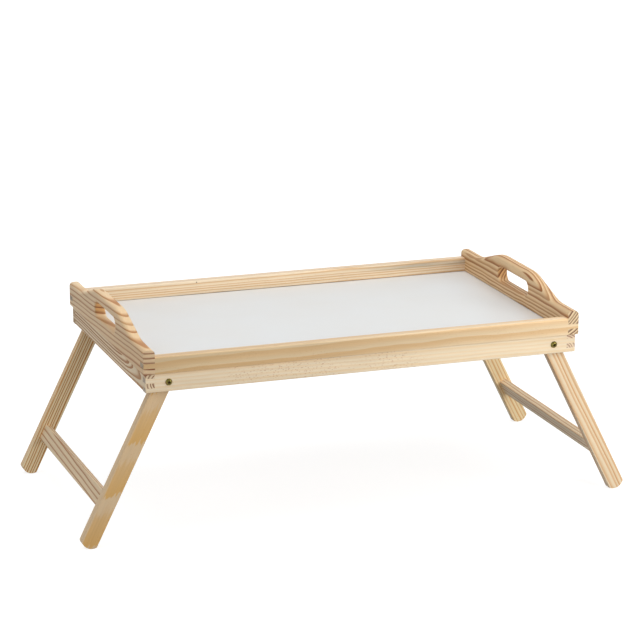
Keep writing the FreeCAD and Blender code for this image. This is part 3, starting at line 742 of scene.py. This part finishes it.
# %% [markdown]
# A finished piece stands for its CAD node. It moves with the same body as the node, hides the
# node, which still works in the physics model, and names the finish that it was given. Doing
# all of that in one function means that no piece can be left behind when a leg folds.


# %% Dress a node
def dress(node, finish, material, arris=0):
    """Put a finished copy in its node's place, with its material, on the node's body."""
    piece = finished_copy(node, f"{node}_{finish}", arris)
    piece.data.materials.clear()
    piece.data.materials.append(material)
    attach(piece, frame["nodes"][node]["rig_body"])
    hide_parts(node)
    print(f"{piece.name}: {len(piece.data.polygons)} faces")


print(len(frame["nodes"]), "nodes to dress")

# %% [markdown]
# With the material and the finish ready, one loop makes all fourteen boards. A hand plane or a
# sheet of abrasive takes the sharpness off every board of such a tray, so they all get the same
# arris.

# %% The boards
for node, cut in CUTS.items():
    dress(node, "pine", pine(f"pine_{node}", cut), arris=ARRIS)

# %% [markdown]
# The panel is 3 mm hardboard with a white painted face, let into the underside of the upper
# frame. Paint over fibreboard is never quite even: it keeps a faint mottle, which the light
# picks up. A thin broken line of painted shade stands for the shadow in the gap where the panel
# meets the boards. It could be drawn on the frame, but it lies on the paint, so the panel's own
# material measures how near a point is to the frame.

# %% Panel: the painted face
MOTTLE_MM = 111
WELL_HALF_SIZE = (266 * MM, 161 * MM, 0)
GAP_SHADE_EDGE = (-1.6 * MM, -0.3 * MM)
GAP_SHADE_BREAKS = (0.42, 0.58)


def painted_face(tree, place):
    """White paint with a faint mottle, and a broken line of painted shade along the frame."""
    mottle = add_node(
        tree, "TexNoise", {"Scale": per_metre(MOTTLE_MM)[0], "Detail": 4.0,
                           "Roughness": 0.55}, {"Vector": place})
    white = add_node(
        tree, "Mix", {"data_type": "RGBA", UNDER: linear("#e2e1de"), OVER: linear("#e5e9ec")},
        {SHARE: mottle}, MIXED)
    beyond = add_node(tree, "VectorMath", {"operation": "ABSOLUTE"}, {0: place})
    beyond = add_node(
        tree, "VectorMath", {"operation": "SUBTRACT", 1: WELL_HALF_SIZE}, {0: beyond})
    beyond_side = add_node(tree, "SeparateXYZ", links={0: beyond})
    beyond_end = tree.nodes[-1].outputs["Y"]
    near = add_node(tree, "Math", {"operation": "MAXIMUM"}, {0: beyond_side, 1: beyond_end})
    # A thin broken line of painted shade, for the shadow in the gap between the panel and the
    # frame.
    gap_shade = add_node(
        tree, "MapRange", {"From Min": GAP_SHADE_EDGE[0], "From Max": GAP_SHADE_EDGE[1],
                           "To Max": 0.85}, {"Value": near})
    broken = add_node(
        tree, "MapRange", {"From Min": GAP_SHADE_BREAKS[0], "From Max": GAP_SHADE_BREAKS[1],
                           "To Min": 0.35}, {"Value": mottle})
    gap_shade = add_node(tree, "Math", {"operation": "MULTIPLY"}, {0: gap_shade, 1: broken})
    return add_node(
        tree, "Mix", {"data_type": "RGBA", OVER: linear("#4a3c30")},
        {SHARE: gap_shade, UNDER: white}, MIXED)


print(f"the panel shows {2 * WELL_HALF_SIZE[0] / MM:.0f} x {2 * WELL_HALF_SIZE[1] / MM:.0f} mm")

# %% [markdown]
# The underside is bare and brown: wood pulp pressed flat under a hot plate, with its fibres
# lying every way. One material can hold both faces, because the normal says which side of the
# panel a point is on. That keeps the panel one piece, as the real one is.

# %% Panel: the bare back, and the whole material
PULP_FIBRE_MM = 2.4
PULP_CLOUD_MM = 22
PULP_RELIEF = 0.05 * MM


def bare_back(tree, place, fibres):
    """Brown pressed pulp, in clouds and short fibres."""
    pulp = add_node(
        tree, "TexNoise", {"Scale": per_metre(PULP_CLOUD_MM)[0], "Detail": 6.0,
                           "Roughness": 0.75, "Distortion": 1.2}, {"Vector": place})
    pulp = add_node(
        tree, "MapRange", {"From Min": 0.34, "From Max": 0.66, "To Max": 0.42},
        {"Value": pulp})
    pulp = add_node(tree, "Math", {"operation": "MULTIPLY_ADD", 1: 0.6}, {0: fibres, 2: pulp})
    return add_node(
        tree, "Mix", {"data_type": "RGBA", UNDER: linear("#7d5638"), OVER: linear("#b98c63")},
        {SHARE: pulp}, MIXED)


def hardboard():
    """Hardboard with a white painted face on top and a bare back."""
    material, tree, shader = new_material("white_faced_hardboard")
    place = add_node(tree, "TexCoord", output="Object")
    facing = tree.nodes[-1].outputs["Normal"]
    up = add_node(tree, "SeparateXYZ", links={0: facing}, output="Z")
    painted = add_node(tree, "Math", {"operation": "GREATER_THAN", 1: 0.5}, {0: up})
    fibres = add_node(
        tree, "TexNoise", {"Scale": per_metre(PULP_FIBRE_MM)[0], "Detail": 5.0,
                           "Roughness": 0.7}, {"Vector": place})
    colour = add_node(
        tree, "Mix", {"data_type": "RGBA"},
        {SHARE: painted, UNDER: bare_back(tree, place, fibres),
         OVER: painted_face(tree, place)}, MIXED)
    tree.links.new(colour, shader.inputs["Base Color"])
    rough = add_node(tree, "MapRange", {"To Min": 0.75, "To Max": 0.42}, {"Value": painted})
    tree.links.new(rough, shader.inputs["Roughness"])
    bump = add_node(
        tree, "Bump", {"Strength": 0.15, "Distance": PULP_RELIEF}, {"Height": fibres})
    tree.links.new(bump, shader.inputs["Normal"])
    return material


dress("tray_panel", "board", hardboard())

# %% [markdown]
# A screw's cross recess gets painted shade, a dark colour where little light reaches, and the
# photograph shows a dim middle to each head, which is painted shade as well. The faces of the
# recess could get a material of their own, but they would have to be picked out one by one.
# Instead the material measures how far a point lies from the screw's axis, and how high above
# the head's seat. The four screws mirror each other, so one set of numbers serves them all.

# %% Painted shade in the cross recess
PIVOT_X, HEAD_SEAT, PIVOT_Z = 248.5 * MM, 172 * MM, 202.5 * MM
UNDER_DOME = (2.2 * MM, 1.7 * MM)
CROSS_REACH = (2.9 * MM, 2.6 * MM)
DIM_MIDDLE = (2.8 * MM, 1.2 * MM)


def paint_recess_shade(tree, place, plating):
    """The plating's colour, with painted shade inside the cross and around the middle of the
    head.
    """
    mirrored = add_node(tree, "VectorMath", {"operation": "ABSOLUTE"}, {0: place})
    from_seat = add_node(
        tree, "VectorMath", {"operation": "SUBTRACT", 1: (PIVOT_X, HEAD_SEAT, PIVOT_Z)},
        {0: mirrored})
    height = add_node(tree, "SeparateXYZ", links={0: from_seat}, output="Y")
    off_axis = add_node(
        tree, "VectorMath", {"operation": "MULTIPLY", 1: (1, 0, 1)}, {0: from_seat})
    off_axis = add_node(tree, "VectorMath", {"operation": "LENGTH"}, {0: off_axis}, "Value")
    under = add_node(
        tree, "MapRange", {"From Min": UNDER_DOME[0], "From Max": UNDER_DOME[1]},
        {"Value": height})
    inside = add_node(
        tree, "MapRange", {"From Min": CROSS_REACH[0], "From Max": CROSS_REACH[1]},
        {"Value": off_axis})
    middle = add_node(
        tree, "MapRange", {"From Min": DIM_MIDDLE[0], "From Max": DIM_MIDDLE[1],
                           "To Max": 0.7}, {"Value": off_axis})
    # The dark cross and the dim middle are painted shade.
    recess = add_node(tree, "Math", {"operation": "MULTIPLY"}, {0: under, 1: inside})
    recess = add_node(tree, "Math", {"operation": "MAXIMUM"}, {0: recess, 1: middle})
    return add_node(
        tree, "Mix", {"data_type": "RGBA", OVER: linear("#26160f")},
        {SHARE: recess, UNDER: plating}, MIXED)


print(f"the recess reaches {CROSS_REACH[1] / MM:.1f} mm from the screw's axis")

# %% [markdown]
# The pivot screws are steel with a yellow zinc plating. The plating is a film thinner than the
# wavelength of light, which is why it shines green and pink in patches over its yellow. A metal
# takes its colour from its base colour alone, so those patches are painted there. They are
# painted much darker than the plating is, as a painted reflection of dark surroundings. The
# washers have a plain zinc plating, which is a cool grey with little colour in it.

# %% Zinc plating
SCRATCH_MM = 0.4
SCRATCH_DEPTH = 0.03 * MM
FILM_SPREAD = (0.3, 0.7)


def zinc(name, patches, patch_mm, roughness, recess=False):
    """Zinc plating in patches of colour, fine scratches, and painted shade in the recess if it
    has one.
    """
    material, tree, shader = new_material(name)
    place = add_node(tree, "TexCoord", output="Object")
    film = add_node(
        tree, "TexNoise", {"Scale": per_metre(patch_mm)[0], "Detail": 2.0}, {"Vector": place})
    colour = add_node(tree, "ValToRGB", links={0: film})
    stops = tree.nodes[-1].color_ramp.elements
    low, high = FILM_SPREAD
    stops[0].position, stops[0].color = low, linear(patches[0])
    stops[1].position, stops[1].color = high, linear(patches[-1])
    for number, patch in enumerate(patches[1:-1], start=1):
        stops.new(low + (high - low) * number / (len(patches) - 1)).color = linear(patch)
    if recess:
        colour = paint_recess_shade(tree, place, colour)
    tree.links.new(colour, shader.inputs["Base Color"])
    shader.inputs["Metallic"].default_value = 1.0
    shader.inputs["Roughness"].default_value = roughness
    scratch = add_node(
        tree, "TexNoise", {"Scale": per_metre(SCRATCH_MM)[0], "Detail": 3.0},
        {"Vector": place})
    bump = add_node(
        tree, "Bump", {"Strength": 0.2, "Distance": SCRATCH_DEPTH}, {"Height": scratch})
    tree.links.new(bump, shader.inputs["Normal"])
    return material


print("scratches in the plating are", SCRATCH_MM, "mm apart")

# %% [markdown]
# Each leg turns on one screw, with a washer between the rail and the leg to keep the wood from
# rubbing. Screws and washers have no long edges to break, so they are only merged and smoothed.

# %% Pivot screws and washers
# The yellow zinc's patches are painted much darker than the plating, as a painted reflection of
# dark surroundings.
YELLOW_ZINC_AND_PAINTED_SHADE = zinc(
    "yellow_zinc_and_painted_shade", ("#3c2e16", "#857438", "#56602e", "#8e7c42", "#7c544c"),
    patch_mm=1.6, roughness=0.2, recess=True)
PLAIN_ZINC = zinc(
    "plain_zinc_plating", ("#b8babb", "#c9cbcc", "#a9acae"), patch_mm=3.0, roughness=0.35)

for end in ("left", "right"):
    for side in ("front", "rear"):
        dress(f"{side}_{end}_pivot_screw", "plated", YELLOW_ZINC_AND_PAINTED_SHADE)
        dress(f"{side}_{end}_washer", "plated", PLAIN_ZINC)

# %% [markdown]
# The dowels are turned beech and sit inside the joints of the leg frames. Nobody sees them, but
# they are part of the tray, so they get plain beech with its short dark flecks. Real flecks are
# a few millimetres long and half a millimetre wide, and are drawn about twice as large to show.

# %% Beech dowels
FLECK_MM = (1.1, 11, 1.1)


def beech():
    """Bare turned beech, with flecks that run along the dowels, from front to rear."""
    material, tree, shader = new_material("turned_beech")
    place = add_node(tree, "TexCoord", output="Object")
    grain = add_node(
        tree, "VectorMath", {"operation": "MULTIPLY", 1: per_metre(*FLECK_MM)}, {0: place})
    fleck = add_node(tree, "TexNoise", {"Scale": 1.0, "Detail": 2.0}, {"Vector": grain})
    colour = add_node(
        tree, "Mix", {"data_type": "RGBA", UNDER: linear("#c99c6c"), OVER: linear("#dcb88c")},
        {SHARE: fleck}, MIXED)
    tree.links.new(colour, shader.inputs["Base Color"])
    shader.inputs["Roughness"].default_value = 0.65
    return material


BEECH = beech()
for end in ("left", "right"):
    for side in ("front", "rear"):
        dress(f"{end}_{side}_dowels", "beech", BEECH)

# %% [markdown]
# The photograph has a pure white ground. More light would burn the pale wood out, so the light
# stays at a level where colours render as they are written, and only the camera sees the ground
# as white. A Light Path node tells the two apart: it knows what each ray of light is for.


# %% What only the camera sees
def camera_sees(tree):
    """1 for camera, glossy and transmission rays, 0 for the light that reaches the object."""
    path = tree.nodes.new("ShaderNodeLightPath")
    seen = add_node(tree, "Math", {"operation": "MAXIMUM"}, {
        0: path.outputs["Is Camera Ray"], 1: path.outputs["Is Glossy Ray"]})
    return add_node(tree, "Math", {"operation": "MAXIMUM"}, {
        0: seen, 1: path.outputs["Is Transmission Ray"]})


print("white for the camera and for reflections, plain light for the tray")

# %% [markdown]
# Most of the floor's brightness is a glow for the camera alone. The rest is plain paint, which
# keeps the tray's shadow, and fades into the glow some way off. The floor is clear from below,
# so that a view from underneath shows the underside of the tray.

# %% Floor
FLOOR_SIZE = 60
FLOOR_GAP = 0.3 * MM
FLOOR_GLOW = 0.83
FLOOR_FADE = (0.5, 2.0)

bpy.ops.mesh.primitive_plane_add(size=FLOOR_SIZE, location=(0, 0, -FLOOR_GAP))
floor = bpy.context.object
floor.name = "floor"
floor_material, tree, shader = new_material("white_floor")
shader.inputs["Base Color"].default_value = linear("#a2a2a2")
shader.inputs["Roughness"].default_value = 0.9
shader.inputs["Emission Color"].default_value = linear("#ffffff")
place = add_node(tree, "TexCoord", output="Object")
away = add_node(tree, "VectorMath", {"operation": "LENGTH"}, {0: place}, "Value")
glow = add_node(
    tree, "MapRange", {"From Min": FLOOR_FADE[0], "From Max": FLOOR_FADE[1],
                       "To Min": FLOOR_GLOW, "To Max": 1.0}, {"Value": away})
glow = add_node(tree, "Math", {"operation": "MULTIPLY"}, {0: camera_sees(tree), 1: glow})
tree.links.new(glow, shader.inputs["Emission Strength"])
below = add_node(tree, "NewGeometry", output="Backfacing")
clear = add_node(tree, "BsdfTransparent")
surface = add_node(tree, "MixShader", links={0: below, 1: shader.outputs[0], 2: clear})
tree.links.new(surface, tree.nodes["Material Output"].inputs[0])
floor.data.materials.append(floor_material)
print(f"the floor glows at {FLOOR_GLOW:.0%} of white under the tray")

# %% [markdown]
# The world is treated in the same way. It lights the tray softly from all sides, as the white
# walls of a studio would, and only the camera and the reflections see it as full white.

# %% World
WORLD_LIGHT = 0.265

world = bpy.data.worlds.new("studio")
bpy.context.scene.world = world
world.use_nodes = True
tree = world.node_tree
background = tree.nodes["Background"]
background.inputs["Color"].default_value = linear("#ffffff")
level = add_node(
    tree, "MapRange", {"To Min": WORLD_LIGHT, "To Max": 1.0}, {"Value": camera_sees(tree)})
tree.links.new(level, background.inputs["Strength"])
bpy.context.scene.view_settings.view_transform = "Standard"
print("the world lights the tray at", WORLD_LIGHT)

# %% [markdown]
# The lamps are four soft boxes. The main one stands to the right of the camera and fairly
# close, so the front rail is bright at its right end and falls off to the left. A broad one
# overhead lights the panel evenly. Two weaker ones on the left, one from the front and one from
# the side, keep the left legs and the left end board from going dark.


# %% Soft boxes
def soft_box(name, place, aim, size_m, watts, colour="#ffffff"):
    """A square area lamp in one place, turned to face another."""
    lamp = bpy.data.lights.new(name, "AREA")
    lamp.size = size_m
    lamp.energy = watts
    lamp.color = linear(colour)[:3]
    box = bpy.data.objects.new(name, lamp)
    box.location = place
    box.rotation_euler = (Vector(aim) - Vector(place)).to_track_quat("-Z", "Y").to_euler()
    bpy.context.scene.collection.objects.link(box)
    print(f"{name}: {watts} W over {size_m} m")


soft_box("key_right", (0.74, -0.95, 0.54), (0.15, -0.1, 0.2), 0.6, 7.2, "#fffcf4")
soft_box("overhead", (0.1, 0.1, 2.2), (0, 0, 0.2), 1.8, 25)
soft_box("front_left", (-0.6, -2.2, 0.5), (-0.2, 0, 0.15), 1.0, 4.8)
soft_box("side_left", (-1.7, -0.6, 1.2), (-0.2, 0, 0.2), 1.0, 5.0)
